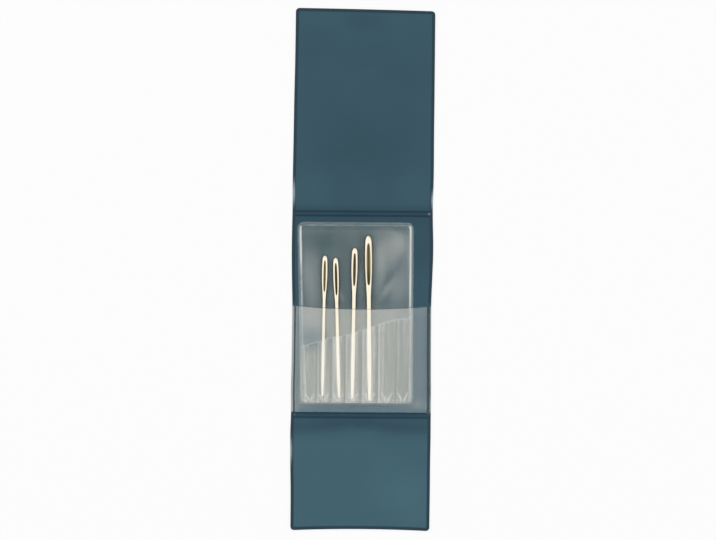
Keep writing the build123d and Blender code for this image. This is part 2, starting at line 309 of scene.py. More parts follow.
def score_press(x, y):
    """0 away from the scored lines and 1 at the bottom of one. They fade out at the rim's weld."""
    pressed = sum(hump(y, line, score_half) for line in scores)
    return pressed * smooth_step(half_width - np.abs(x), 0.5, rim_weld_inset)


rim_lines = (0, 0.03, 0.08, 0.15, 0.5, 0.9, 1.0, 1.1, 1.2, 1.3, 1.4, 1.55, 2.2, 3)
across_lines = inset_lines(-half_width, half_width, rim_lines, 2)
score_steps = (-0.5, -0.4, -0.27, -0.13, 0, 0.13, 0.27, 0.4, 0.5)
print(f"{len(across_lines)} lines across each sheet")

# %% [markdown]
# Between the marks the sheet swells and sinks by about a tenth of a millimetre, as thin vinyl does when it
# has been folded for a while. Just past the lower fold there is a clearer swelling, where the flap still
# remembers being bent over the full pocket. Under the pocket the panel stays flat.

# %% How the sheets swell
wave_height = 0.08
slow_waves = ((11, 19, 0), (-23, 13, 1))  # stretch in X, stretch in Y, and start
memory_height, memory_place, memory_reach, memory_bow = 0.2, -70.5, 7, 3


def swell(x, y):
    """How far the sheet stands off the table, in millimetres."""
    waves = sum(0.5 + 0.5 * np.sin(x / wide + y / long + start) for wide, long, start in slow_waves)
    on_flaps = 0.5 * smooth_step(y, 30, 42) + smooth_step(y, -68, -80)
    memory = hump(y, memory_place + memory_bow * hump(x, -2, 16), memory_reach)
    memory = memory * smooth_step(half_width - np.abs(x), 1, 9)
    return wave_height * waves * on_flaps + memory_height * memory


# %% [markdown]
# The light on the real wallet is not even, and it is painted into the vinyl's colour: the long flap is painted
# a little darker where it dips, the short flap leans back and is painted paler, the scored lines and the folds
# get painted shade, and a few places on the rim get painted highlights where they catch the light. The rim
# outside the weld is darker, except under the pocket, where the film keeps it pale. Each of these is a number
# on the
# vertices: one for painted light and shade, one for the rim's painted highlights and one for the rim.

# %% Painted light and shade of the vinyl
# Painted light and shade: the steps and patches paint the panel and parts of the long flap darker and the short
# flap paler, as the light falls, and the bands paint shade at both folds and a shadow along the insert's top
# edge.
base_painted_light = 0.48
painted_light_steps = ((29, 26, -0.12), (8, -4, 0.1), (-66, -76, 0.3), (90, 112, 0.06))
painted_shade_bands = ((24.1, 2.6, -0.2), (21, 1, -0.16), (-62.9, 2.4, -0.26))
painted_light_patches = (
    ((-1, 54), (34, 20), 0, -0.09),
    ((0, 107), (14, 8), 0, -0.12),
    ((20, -97), (26, 20), 0, 0.12),
    ((-0.3, -67.4), (2.6, 0.9), 0, -0.16),
)
# Painted highlights on the rim, where its edge catches the light.
painted_rim_glints = (
    ((30, 30.4), (1.2, 6), 0, 0.9),
    ((-29.6, 33), (1.1, 8), 0, 0.8),
    ((-30, -78), (1.3, 8), 0, 0.8),
    ((29, -58.5), (1.6, 4.5), 0, 0.7),
    ((-28.4, -62.9), (0.8, 0.6), 0, 0.6),
    ((28.5, 24.2), (0.7, 0.8), 0, 0.5),
    ((-30.2, -38), (1.6, 30), 0, 0.25),
)


def vinyl_painted_light(x, y):
    """How light the vinyl is painted, from 0, darkest, to 1: painted light and shade from how the light falls.
    """
    painted_light = number_map(x, y, base_painted_light, painted_light_steps, painted_shade_bands, painted_light_patches)
    # Painted light on the long flap's sides near its fold, painted light and shade where the short flap still
    # bends, a painted highlight between each pair of scored lines and painted shade in them.
    painted_side_light = 0.1 * smooth_step(np.abs(x), 8, 22) * hump(y, 34, 14)
    bow = 3 * hump(x, -2, 26)
    painted_bend_light = 0.1 * hump(y, -72.6 + bow, 1.6) * hump(x, 0, 14) - 0.12 * hump(y, -69 + bow, 4)
    fold_middles = (upper_score + score_spacing / 2, lower_score - score_spacing / 2)
    painted_ridge_light = sum(hump(y, middle, 0.5) for middle in fold_middles)
    painted_score_shade = np.clip(score_press(x, y), 0, 1)
    return painted_light + painted_side_light + painted_bend_light + 0.1 * painted_ridge_light - 0.25 * painted_score_shade


def rim_darkness(x, y):
    """How far the weld has darkened the rim, from 0 to 1."""
    under_pocket = smooth_step(y, -14.9, -15.4) * (1 - smooth_step(y, -60.3, -61.2))
    outside_weld = 1 - smooth_step(from_rim(x, y), rim_weld_inset - 0.1, rim_weld_inset + 0.4)
    return outside_weld * (1 - under_pocket)


# %% [markdown]
# The wallet has two creases at each fold, so lining and cover are each made in four lengths that meet where
# both are stiff. A length gets its thickness while it is flat, and then both its faces are shaped, so that
# the lining and the cover stay against each other.

# %% Make the lengths of sheet
flap_bend_half = 1.2
panel_middle = round((panel_low.y + panel_high.y) / 2, 3)
upper_seam = crease["upper_fold_far"] - flap_bend_half - 0.6
lower_seam = crease["lower_fold_far"] + flap_bend_half + 0.25
lining_thickness = inner_face - cover_top
cover_thickness = cover_top - 0.01
cover_rim_share = 0.6  # of the lining's rim marks, which show on the back too


def lines_along(start, end):
    """The places along the wallet where a length of sheet from start to end is cut."""
    places = spaced(start, end, 2)
    for line in scores:
        places += [line + step for step in score_steps]
    for line in (crease["upper_fold_far"], crease["lower_fold_far"]):
        places += spaced(line - flap_bend_half, line + flap_bend_half, 0.24)
    places += inset_lines(bottom_edge, top_edge, rim_lines)
    return [place for place in places if start < place < end] + [start, end]


def shape_sheet(sheet, thickness, is_lining):
    """Gives a flat length of sheet its thickness, press marks, corners and swell."""
    thicken(sheet, thickness, upwards=False)
    x, y, z = vertex_places(sheet)
    on_top = z > -thickness / 2
    remember_flat(sheet)
    keep_number(sheet, "painted_light", vinyl_painted_light(x, y))
    keep_number(sheet, "rim", rim_darkness(x, y))
    keep_number(sheet, "rim_glint", number_map(x, y, 0, patches=painted_rim_glints))
    if is_lining:
        pressed = rim_press(x, y) + score_depth * score_press(x, y)
        level = np.where(on_top, inner_face - pressed, cover_top)
    else:
        level = np.where(on_top, cover_thickness, cover_rim_share * rim_press(x, y))
    level = level + swell(x, y)
    x, y = round_corners(x, y, (-half_width, bottom_edge), (half_width, top_edge), corner_radius)
    move_vertices(sheet, *lie(x, y), level)
    choose(sheet)
    bpy.ops.object.shade_smooth_by_angle(angle=radians(42))


def lining_and_cover(zone, start, end):
    """The two sheets of one zone. The cover is a copy of the same flat length."""
    lining = cut_sheet(f"lining_{zone}", across_lines, lines_along(start, end))
    cover = lining.copy()
    cover.data = lining.data.copy()
    cover.name = f"cover_{zone}"
    bpy.context.collection.objects.link(cover)
    shape_sheet(lining, lining_thickness, is_lining=True)
    shape_sheet(cover, cover_thickness, is_lining=False)
    return lining, cover


zones = {
    "upper_half": (panel_middle, upper_seam),
    "long_flap": (upper_seam, top_edge),
    "lower_half": (lower_seam, panel_middle),
    "short_flap": (bottom_edge, lower_seam),
}
sheets = {zone: lining_and_cover(zone, *ends) for zone, ends in zones.items()}
print({sheet.name: len(sheet.data.polygons) for pair in sheets.values() for sheet in pair})

# %% [markdown]
# The pocket is one piece of frosted film, welded to the panel at both sides and along its foot, and pushed
# up by what is inside. Its open edge sags a little in the middle. The height is the CAD model's own arch,
# eased where the film leaves the welds, with faint creases running up from the foot.

# %% The pocket film's shape
pocket_thickness = 0.2
pocket_foot = pocket_low.y
pocket_mouth = pocket_high.y
pocket_sag = 1.5
pocket_rise = pocket_high.z - inner_face - pocket_thickness
pocket_side = half_width - rim_weld_inset - 0.65
pocket_gap = 0.012  # between the lining and the film's welded border
shoulder_run = 1.3
shoulder_rise = 0.65
foot_weld = 0.8
foot_run = 4.4
foot_crease_height = 0.05
pocket_wave_height = 0.04
arch_radius = (pocket_side**2 + (pocket_rise - shoulder_rise) ** 2) / (2 * (pocket_rise - shoulder_rise))


def pocket_height(x, y):
    """How high the pocket film stands over the lining, in millimetres."""
    arch = np.clip(pocket_rise - arch_radius + np.sqrt(arch_radius**2 - x**2), 0, None)
    from_foot = y - pocket_foot - foot_weld
    creases = np.sin(x / 0.9 + 2 * np.sin(x / 5) + 0.3 * np.sin(y / 7)) * (1 - smooth_step(from_foot, 1, 12))
    waves = foot_crease_height * creases + pocket_wave_height * np.sin(x / 9 + y / 12)
    sides = smooth_step(pocket_side - np.abs(x), 0, shoulder_run)
    return (arch + waves) * sides * smooth_step(from_foot, 0, foot_run)


def pocket_place(x, y):
    """Where a point of the flat pocket film lies."""
    near_mouth = np.clip((y - pocket_foot) / (pocket_mouth - pocket_foot), 0, 1) ** 5
    sagged = y - pocket_sag * (1 - (x / half_width) ** 2) * near_mouth
    level = inner_face + pocket_thickness + pocket_gap - 0.8 * rim_press(x, np.zeros_like(y))
    return (*lie(x, sagged), level + pocket_height(x, y))


pocket_across = inset_lines(-half_width, half_width, rim_lines[:-2])
pocket_across += inset_lines(-pocket_side, pocket_side, spaced(0, shoulder_run, 0.16), 0.6)
weld_end = pocket_foot + foot_weld
pocket_along = runs(pocket_foot, (weld_end, 0.2), (weld_end + foot_run, 0.25), (pocket_mouth - 1, 1.2))
pocket_along += [pocket_mouth - inset for inset in (0.5, 0.25, 0.1, 0)]
print(f"the pocket rises {pocket_rise:.2f} mm over the lining")

# %% [markdown]
# Film that is fused to the sheet under a weld loses its haze and turns dark and clear, and along the pocket's
# cut edge a thin line of shade is painted. Such strips get a material slot of their own, chosen by the place of
# each face while the film still lies flat. How milky the film looks from place to place, with its painted
# highlights, is a number on its vertices again.

# %% Make the pocket film
weld, lip = 1, 2  # material slots. Slot 0 is the plain film
left_weld_half, right_weld_half = 0.4, 0.65
lip_width = 0.5


def mark_faces(obj, number, test):
    """Gives the faces whose middle passes test(x, y), in millimetres, the material slot of that number."""
    for face in obj.data.polygons:
        if test(face.center.x / mm, face.center.y / mm):
            face.material_index = number


def form_film(film, haze_and_painted_light, place, thickness, upwards):
    """Shapes a flat film, keeps how milky it is at each vertex, with its painted light, and gives it its
    thickness.
    """
    x, y, _ = vertex_places(film)
    remember_flat(film)
    keep_number(film, "haze_and_painted_light", haze_and_painted_light(x, y))
    move_vertices(film, *place(x, y))
    thicken(film, thickness, upwards)
    bpy.ops.object.shade_smooth_by_angle(angle=radians(40))
    print(film.name, len(film.data.polygons), "faces")


def pocket_haze_and_highlights(x, y):
    """How milky the pocket film looks, from 0 to 1, most where the insert holds it up, with painted highlights.
    """
    held_off = smooth_step(x, insert_low.x + 0.3, insert_low.x + 1.1)
    held_off = held_off * smooth_step(x, insert_high.x, insert_high.x - 0.7)
    held_off = held_off * smooth_step(y, insert_low.y - 0.2, insert_low.y + 0.8)
    milky = 0.9 - 0.7 * patch(x, y, (-22, -29.5), (13, 9)) - 0.16 * smooth_step(x, 12, 20)
    # Beside the insert: painted highlights near the mouth and at the lower right corner, darker towards the
    # foot.
    beside = number_map(
        x, y, 0.25, [(-59, -61, -0.15)], [(pocket_mouth - 2.6, 2.4, 0.12)], [((24.5, -58), (4, 3), 0, 0.35)]
    )
    beside = beside + 0.25 * smooth_step(x, -25, -27.5)
    outside_weld = half_width - np.abs(x) < rim_weld_inset - 0.25
    beside = np.where(outside_weld, np.where(x < 0, 0.95, 0.6), beside)
    return held_off * milky + (1 - held_off) * beside


pocket = cut_sheet("pocket_frosted_film", pocket_across, pocket_along)
mark_faces(pocket, weld, lambda x, y: abs(x + half_width - rim_weld_inset) < left_weld_half)
mark_faces(pocket, weld, lambda x, y: abs(x - half_width + rim_weld_inset) < right_weld_half)
# The cut edge at the mouth gets a painted line of shade.
mark_faces(pocket, lip, lambda x, y: y > pocket_mouth - lip_width)
form_film(pocket, pocket_haze_and_highlights, pocket_place, pocket_thickness, upwards=False)

# %% [markdown]
# The insert is a clear envelope of two films. The back film is whole, and its corners are round. In the
# photo it leans away from square by a degree on its left side, so it gets a small warp of its own. Clear
# vinyl is never flat: it stands up in soft pillows.

# %% The insert's back film
film_thickness = insert_high.z - insert_low.z
insert_radius = 2.8
insert_weld_inset = 1.4
insert_weld_half = 0.42
ridge_height = 0.1
bottom_lift = 0.8
left_lean = ((-60, 1), (-50, 0.85), (15, -0.8), (22, -0.95))
lean_fade = (insert_low.x + 2, insert_low.x + 7.7)
pillows = (((14, 5), (9, 14), 0, 0.35), ((-22.5, -3), (4, 11), 0, 0.22), ((-6, 13), (13, 6), 0, 0.12))


def from_insert_edges(x, y):
    """How far a point lies in from the insert's nearer side, and from its nearer end."""
    return within(x, insert_low.x, insert_high.x), within(y, insert_low.y, insert_high.y)


def insert_outline(x, y):
    """The insert's outline with its round corners, leaning as it does in the photo."""
    x, y = round_corners(x, y, (insert_low.x, insert_low.y), (insert_high.x, insert_high.y), insert_radius)
    leaning = through(y, left_lean) * (1 - smooth_step(x, *lean_fade))
    return x + leaning, y + bottom_lift * (1 - smooth_step(y, insert_low.y, insert_low.y + 10))


def back_film_place(x, y):
    """Where a point of the insert's flat back film lies."""
    inside = np.minimum(*from_insert_edges(x, y))
    ridge = ridge_height * hump(inside, insert_weld_inset, insert_weld_half)
    pillow = number_map(x, y, 0, patches=pillows) * smooth_step(inside, 1.6, 4)
    return (*insert_outline(x, y), insert_high.z + ridge + pillow)


# %% [markdown]
# The pillows, a few streaks and the rim look milky, because they send the bright room to the camera. The
# ridge of the weld shines most along the two long sides.

# %% Haze and shine of the back film
base_reflection = 0.22
reflection_steps = ((-14, -20, 0.2),)
reflection_bands = ((17.9, 0.8, -0.1), (16.4, 0.8, 0.06))
reflection_patches = (
    ((12.7, 8.5), (13, 15), 0, 0.52),
    ((16.5, 12.8), (6, 8), 0, 0.26),
    ((7.9, 0), (4.5, 16), 0, 0.34),
    ((13.6, -1.1), (15, 3.6), 56, -0.2),
    ((10.9, -8.4), (8, 2.4), 59, 0.32),
    ((16.5, 17), (6, 2.2), -20, -0.24),
    ((15.5, -6.6), (8, 11), 0, 0.3),
    ((-21.9, -2.3), (5.5, 17), 0, 0.36),
    ((-20, -12), (6, 8), 0, 0.14),
    ((-8.7, -11.2), (4.5, 1.3), 115, 0.4),
    ((-12.8, -11), (1.5, 6), 0, 0.2),
    ((-0.7, -4.5), (1.8, 12), 0, 0.15),
    ((-15, 11.5), (14, 8), 0, -0.12),
)


def ridge_shine(x, y):
    """How bright the ridge of the insert's weld looks, from 0 to 1."""
    corner = 0.5 * patch(x, y, (insert_high.x - 1, 18.4), (2.4, 2.2))
    left = 0.5 + 0.5 * smooth_step(y, -4, 8) * (1 - 0.6 * smooth_step(y, 16.5, 18.5))
    right = 0.88 + 0.12 * hump(y, -7, 8) + corner
    side = np.where(x < 0, left, right) * (1 - 0.45 * smooth_step(y, -15, -17))
    end = np.where(y > 0, 0.12, 0.25) + corner
    from_side, from_end = from_insert_edges(x, y)
    return np.where(from_side < from_end, side, end)


def back_film_reflections(x, y):
    """How milky the back film looks, from 0 to 1: painted reflections of the bright room."""
    inside = np.minimum(*from_insert_edges(x, y))
    haze_and_painted_light = number_map(x, y, base_reflection, reflection_steps, reflection_bands, reflection_patches) + 0.16 * hump(inside, 0.5, 0.9)
    haze_and_painted_light = haze_and_painted_light + 0.35 * hump(insert_high.x - x, 2.3, 1) * hump(y, 4, 22)
    on_ridge = np.abs(inside - insert_weld_inset) < insert_weld_half + 0.05
    return np.where(on_ridge, ridge_shine(x, y), haze_and_painted_light)


def on_insert_weld(x, y):
    """Whether a point lies on the weld round the insert."""
    return abs(min(from_insert_edges(x, y)) - insert_weld_inset) < insert_weld_half


insert_rim = (0, 0.1, 0.5, 1.0, 1.1, 1.2, 1.3, 1.4, 1.5, 1.6, 1.7, 2.1, 3)
insert_across = inset_lines(insert_low.x, insert_high.x, insert_rim, 0.9)
insert_along = inset_lines(insert_low.y, insert_high.y, insert_rim, 1.1)
back_film = cut_sheet("insert_back_clear_film", insert_across, insert_along)
mark_faces(back_film, weld, on_insert_weld)
form_film(back_film, back_film_reflections, back_film_place, film_thickness, upwards=False)

# %% [markdown]
# The front film is welded to the back one in seven channels, and its top is cut on a slope so that short and
# long needles both stand clear of it. Each channel arches over its needle. The empty ones are nearly flat.
# An arch is a piece of a circle, so its height follows from its width and its rise.

# %% The channel film's shape
channel_width_shares = (0.95, 0.99, 0.85, 1.07, 1.06, 1.19, 0.89)
channel_rises = (0.6, 1.8, 1.95, 2.25, 2.65, 0.6, 0.6)
channel_weld = 0.6
channel_foot = insert_low.y + 0.4
channel_end = 1.8
channel_gap = 0.008  # between the two films where they are welded
channel_start = insert_low.x + insert_weld_inset
channel_span = insert_high.x - insert_weld_inset - channel_start
mouth_points = (
    (-27, -33.6), (-25, -33), (-17, -30.7), (-14.4, -29.3), (-6.6, -28.3), (5.4, -24.2), (13.9, -21.5),
    (22.4, -20.3),
)
mouth_high = max(height for _, height in mouth_points)
channel_edges = [
    channel_start + channel_span * sum(channel_width_shares[:index]) / sum(channel_width_shares)
    for index in range(len(channel_width_shares) + 1)
]
channels = list(zip(channel_edges, channel_edges[1:], channel_rises))


def channel_height(x, y):
    """The underside of the channel film over the back film, in millimetres."""
    height = np.zeros_like(x)
    for left, right, rise in channels:
        half_span = (right - left - channel_weld) / 2
        radius = (half_span**2 + rise**2) / (2 * rise)
        from_centre = np.clip(np.abs(x - (left + right) / 2), 0, half_span)
        height = height + np.sqrt(radius**2 - from_centre**2) - radius + rise
    to_end = np.clip((channel_foot + channel_end - y) / channel_end, 0, 1)
    return height * np.sqrt(1 - to_end**2)


def channel_place(x, y):
    """Where a point of the flat channel film lies."""
    share = np.clip((y - channel_foot - channel_end) / (mouth_high - channel_foot - channel_end), 0, 1)
    cut_y = y - share * (mouth_high - through(x, mouth_points))
    return (*insert_outline(x, cut_y), insert_high.z + channel_gap + channel_height(x, y))


channel_across = inset_lines(insert_low.x, insert_high.x, insert_rim[:9])
for left, right, _ in channels:
    half_span = (right - left - channel_weld) / 2
    channel_across += [(left + right) / 2 + half_span * sin(radians(turn)) for turn in range(-90, 91, 10)]
channel_along = [insert_low.y + inset for inset in (0, 0.1, 0.25, 0.4)]
channel_along += [channel_foot + channel_end * (1 - cos(radians(turn))) for turn in range(10, 91, 10)]
channel_along += runs(channel_foot + channel_end, (channel_foot + 5, 0.4), (mouth_high - 1, 1.4))
channel_along += [mouth_high - inset for inset in (0.4, 0.2, 0)]
print(f"{len(channels)} channels, from {channel_edges[0]:.2f} to {channel_edges[-1]:.2f} mm")

# %% [markdown]
# Where the film is stretched over a needle, a painted highlight makes it look whiter. Its surface also folds a
# little at the foot of each channel, where the arch has to close: two creases fan out there, painted as
# highlights.

# %% Make the channel film
crease_slot = 3
crease_lean = 0.4
crease_foot, crease_length, crease_half = 0.4, 4.2, 0.3
# A painted highlight along each needle where the film lies over it, and how far it reaches.
needle_highlight, needle_reach = 0.9, 1.8


def needle_line(node):
    """The tip of a CAD needle, in millimetres, and the direction it slides in, which is along its length."""
    axes = {joint["name"]: joint["axis"] for joint in frame["joints"]}
    pointing = np.array(axes[f"{node}_slide"])
    points = np.array([vertex.co for vertex in frame["nodes"][node].data.vertices]) / mm
    return points[(points @ pointing).argmin()], pointing


needle_lines = {node: needle_line(node) for node in ("needle_1", "needle_2", "needle_3", "needle_4")}


def channel_haze_and_highlights(x, y):
    """How milky the channel film looks, from 0 to 1, lighter towards the mouth, with painted highlights over
    the needles, along each channel's left side, at the foot, along the insert's sides and on the creases, and
    painted shade along each channel's right side.
    """
    haze_and_painted_light = number_map(x, y, 0.42, [(mouth_high - 4, mouth_high, 0.2)], [(insert_low.y + 0.5, 0.5, 0.4)])
    haze_and_painted_light = haze_and_painted_light - 0.52 * smooth_step(np.abs(x + 3), 10, 16)
    for tip, pointing in needle_lines.values():
        from_needle = x - tip[0] - (y - tip[1]) * pointing[0] / pointing[1]
        over_needle = hump(from_needle, 0, needle_reach) * smooth_step(y - tip[1], -1.5, 1)
        haze_and_painted_light = haze_and_painted_light + needle_highlight * over_needle
    for left, right, _ in channels:
        haze_and_painted_light = haze_and_painted_light + 0.5 * hump(x, left + 0.75, 0.7) - 0.7 * hump(x, right - 0.7, 0.8)
        from_fan = np.abs(x - (left + right) / 2) - 0.35 * (y - channel_foot - 1)
        haze_and_painted_light = haze_and_painted_light + 0.9 * hump(from_fan, 0.4, 0.7) * hump(y, channel_foot + 2, 3.4)
    return haze_and_painted_light + 0.4 * (hump(x, insert_low.x + 1.7, 1) + hump(x, insert_high.x - 1.8, 1.8))


def on_channel_crease(x, y):
    """Whether a point lies on one of the two creases at the foot of each channel, painted as highlights."""
    up = y - channel_foot - crease_foot
    centre = min(((left + right) / 2 for left, right, _ in channels), key=lambda middle: abs(x - middle))
    return 0 < up < crease_length and abs(abs(x - centre) - 0.5 - crease_lean * up) < crease_half


def on_channel_weld(x, y):
    """Whether a point lies on one of the welds between the channels."""
    return min(abs(x - edge) for edge in channel_edges[1:-1]) < channel_weld / 2


channel_film = cut_sheet("insert_channel_clear_film", channel_across, channel_along)
mark_faces(channel_film, weld, on_channel_weld)
# The cut edge at the mouth and the creases are painted highlights.
mark_faces(channel_film, lip, lambda x, y: y > mouth_high - 0.4)
mark_faces(channel_film, crease_slot, on_channel_crease)
form_film(channel_film, channel_haze_and_highlights, channel_place, film_thickness, upwards=True)

# %% [markdown]
# A yarn needle is drawn from round steel wire. Its tip is ground to a slow taper and left blunt, and its head
# is flattened and pierced with a long oval eye. It is modelled as it is made: a small disc at the tip is
# extruded along Y and resized at each step, flatter and wider in the head. That is done at the origin, where
# resizing is easy, and the needle is laid in its channel afterwards.

# %% A needle's sizes from tip to crown
needle_sizes = {  # length, shaft, eye, hole's length, hole's width, head past the hole
    "needle_1": (60.7, 1.6, 2.8, 13.5, 1.2, 2.1),
    "needle_2": (60.4, 1.75, 2.85, 13.8, 1.2, 2.3),
    "needle_3": (65.1, 2.0, 3.15, 14.0, 1.4, 2.35),
    "needle_4": (71.3, 2.3, 3.6, 18.0, 2.0, 3.3),
}
tip_share, taper_share, neck_share = 0.6, 5, 2.8  # of the shaft, for the tip's width and two lengths
taper_fullness = 0.3
widest_share, narrowing_share, narrowing = 0.55, 0.7, 0.35  # two places along the hole, and how much
flat_share, flattening = 0.1, 0.3


def needle_stations(length, shaft, eye, hole_length, head):
    """Places along a needle with its width and depth there, from tip to crown, in millimetres."""
    tip_width, taper = tip_share * shaft, taper_share * shaft
    hole_foot = length - head - hole_length
    neck = hole_foot - neck_share * shaft
    stations = []
    for turn in range(15, 90, 15):
        round_width = tip_width * sin(radians(turn))
        stations.append((tip_width / 2 * (1 - cos(radians(turn))), round_width, round_width))
    for share in spaced(0, 1, 0.1):
        width = tip_width + (shaft - tip_width) * (share + taper_fullness * share * (1 - share))
        stations.append((tip_width / 2 + (taper - tip_width / 2) * share, width, width))
    stations += [(place, shaft, shaft) for place in spaced(taper, neck, 6)[1:]]
    for place in spaced(neck, length - head, 0.6)[1:]:
        wider = smooth_step(place, neck, hole_foot + widest_share * hole_length)
        wider = wider - narrowing * smooth_step(place, hole_foot + narrowing_share * hole_length, length)
        flatter = smooth_step(place, neck, hole_foot + flat_share * hole_length)
        width = shaft + (eye - shaft) * float(wider)
        stations.append((place, width, shaft * (1 - flattening * float(flatter))))
    _, crown_width, crown_depth = stations[-1]
    for turn in range(8, 89, 8):
        drawn_in = cos(radians(turn))
        place = length - head + head * sin(radians(turn))
        stations.append((place, crown_width * drawn_in, crown_depth * sqrt(drawn_in)))
    return stations


# %% [markdown]
# The disc and its extrusion are helpers, because the cutter for the eye is made in the same way.

# %% Extrude a body from a disc
def make_disc(vertices, radius, place, turn=(0, 0, 0)):
    """A filled disc with its origin at the world's, in metres."""
    bpy.ops.object.select_all(action="DESELECT")
    bpy.ops.mesh.primitive_circle_add(
        vertices=vertices, radius=radius, fill_type="NGON", location=place, rotation=turn
    )
    bpy.ops.object.transform_apply(location=True, rotation=True, scale=False)
    return bpy.context.object


def extrude_disc(steps):
    """Extrudes the new disc into a closed body. A step is a move, a change of size and its centre."""
    bpy.ops.object.mode_set(mode="EDIT")
    bpy.ops.mesh.select_all(action="SELECT")
    for move, resize, centre in steps:
        bpy.ops.mesh.extrude_region_move(TRANSFORM_OT_translate={"value": move})
        bpy.ops.transform.resize(value=resize, center_override=centre)
    bpy.ops.mesh.select_all(action="SELECT")
    bpy.ops.mesh.normals_make_consistent(inside=False)
    bpy.ops.object.mode_set(mode="OBJECT")


def needle_body(name, stations):
    """A closed body through the stations."""
    start, width, _ = stations[0]
    body = make_disc(40, width / 2 * mm, (0, start * mm, 0), (pi / 2, 0, 0))
    body.name = name
    extrude_disc(
        ((0, (now - before) * mm, 0), (new_wide / wide, 1, new_deep / deep), (0, now * mm, 0))
        for (before, wide, deep), (now, new_wide, new_deep) in zip(stations, stations[1:])
    )
    return body


# %% [markdown]
# The eye is pierced from both sides, so its walls lean in to a waist halfway through. A cutter of that shape
# is an oval, extruded and narrowed to the waist, then extruded and widened again. A Boolean takes it out of
# the head, and a small Bevel rounds the rim that the yarn runs over.

# %% Pierce the eye
waist_share = 0.12
fullness = 0.62  # 1 would be an ellipse, and less is nearer to a slot
cutter_depth_share = 0.7
eye_rim_share = 0.08


def eye_cutter(hole_centre, hole_length, hole_width, depth):
    """A cutter with the outline of a long slot and a waist, through the whole head."""
    cutter = make_disc(64, mm, (0, 0, -depth * mm))
    x, y, z = vertex_places(cutter)
    fuller = np.sign(x) * np.abs(x) ** fullness
    move_vertices(cutter, fuller * hole_width / 2, hole_centre + y * hole_length / 2, z)
    shorter = (hole_length - hole_width * (1 - waist_share)) / hole_length
    sizes = ((1, 1), (waist_share, shorter), (1 / waist_share, 1 / shorter), (1, 1))
    middle = (0, hole_centre * mm, 0)
    extrude_disc([((0, 0, depth / 2 * mm), (wide, long, 1), middle) for wide, long in sizes])
    return cutter


def pierce(body, cutter, rim_radius):
    """Takes the cutter out of the body and rounds the rim that this leaves."""
    choose(body)
    hole = body.modifiers.new("eye", "BOOLEAN")
    hole.object = cutter
    hole.solver = "EXACT"
    bpy.ops.object.modifier_apply(modifier=hole.name)
    rim = body.modifiers.new("rim", "BEVEL")
    rim.width = rim_radius * mm
    rim.segments = 3
    rim.limit_method = "ANGLE"
    rim.angle_limit = radians(38)
    bpy.ops.object.modifier_apply(modifier=rim.name)
    bpy.data.objects.remove(cutter)


# %% [markdown]
# The finished needle is laid where the CAD model has it: the node gives its tip and its level, and its slide
# joint gives the way it points. The eye and the head's flanks are painted a darker brown: painted shade inside
# the eye, more in some eyes than in others, and a painted dark reflection on the flanks. A number on the
# vertices says how much.

# %% Lay the needles in their channels
eye_slot = 1  # the material slot of the eye's walls. Slot 0 is the shaft
wall_slope = 0.75  # a wall's normal points up by less than this
# Painted shade in each needle's eye, at its top and at its foot.
eye_shade = {"needle_1": (0, 0), "needle_2": (0.85, 1), "needle_3": (0.6, 0.6), "needle_4": (0, 0.9)}
flank_shares = (0.04, 0.16)  # of the width, in from the side
shaded_from = (0.35, 0.6)  # of the length


def mark_eye(body, hole_centre, hole_length, hole_width):
    """Marks the faces inside the eye, and returns whether each vertex is one of theirs."""
    in_eye = np.zeros(len(body.data.vertices), bool)
    for face in body.data.polygons:
        along = (face.center.y / mm - hole_centre) / (hole_length / 2)
        across = face.center.x / mm / (hole_width / 2)
        if abs(face.normal.z) < wall_slope and along**2 + across**2 < 1:
            face.material_index = eye_slot
            in_eye[list(face.vertices)] = True
    return in_eye


def lay_needle(node):
    """A finished needle in its place."""
    length, shaft, eye, hole_length, hole_width, head = needle_sizes[node]
    stations = needle_stations(length, shaft, eye, hole_length, head)
    body = needle_body(f"{node}_gilt", stations)
    hole_centre = length - head - hole_length / 2
    cutter = eye_cutter(hole_centre, hole_length, hole_width, cutter_depth_share * shaft)
    pierce(body, cutter, eye_rim_share * shaft)
    in_eye = mark_eye(body, hole_centre, hole_length, hole_width)
    remember_flat(body)

    x, y, _ = vertex_places(body)
    places, widths, _ = zip(*stations)
    # Painted shade: a dark reflection on the flanks from partway along the needle, and shade on the eye's walls
    # that changes from the eye's top to its foot.
    from_flank = 0.5 - np.abs(x) / np.interp(y, places, widths)
    on_flanks = (1 - smooth_step(from_flank, *flank_shares)) * smooth_step(y / length, *shaded_from)
    top, foot = eye_shade[node]
    in_eye = in_eye * (top + (foot - top) * smooth_step(hole_centre - y, 0, hole_length / 2))
    keep_number(body, "painted_shade", np.maximum(on_flanks, in_eye))

    tip, pointing = needle_lines[node]
    low, _ = node_box(node)
    body.location = (tip[0] * mm, tip[1] * mm, (low.z + shaft / 2) * mm)
    body.rotation_euler = (0, 0, -float(np.arctan2(pointing[0], pointing[1])))
    choose(body)
    bpy.ops.object.transform_apply(location=True, rotation=True, scale=False)
    bpy.ops.object.shade_smooth_by_angle(angle=radians(35))
    return body


needles = {node: lay_needle(node) for node in needle_lines}
print({needle.name: len(needle.data.polygons) for needle in needles.values()})

# %% [markdown]
# Now the finishes. Colours are given as screen values, and Blender reckons in light, so one function
# turns them. Another one adds a node with its settings and links, which keeps each recipe short.

# %% Colours and nodes
white = (1, 1, 1, 1)


def screen_colour(hex_value, share=1):
    """A screen colour such as "#3a5561" as linear red, green, blue and alpha, with a share of its light."""
    parts = [int(hex_value[index : index + 2], 16) / 255 for index in (1, 3, 5)]
    linear = [part / 12.92 if part <= 0.04045 else ((part + 0.055) / 1.055) ** 2.4 for part in parts]
    return (*[part * share for part in linear], 1)


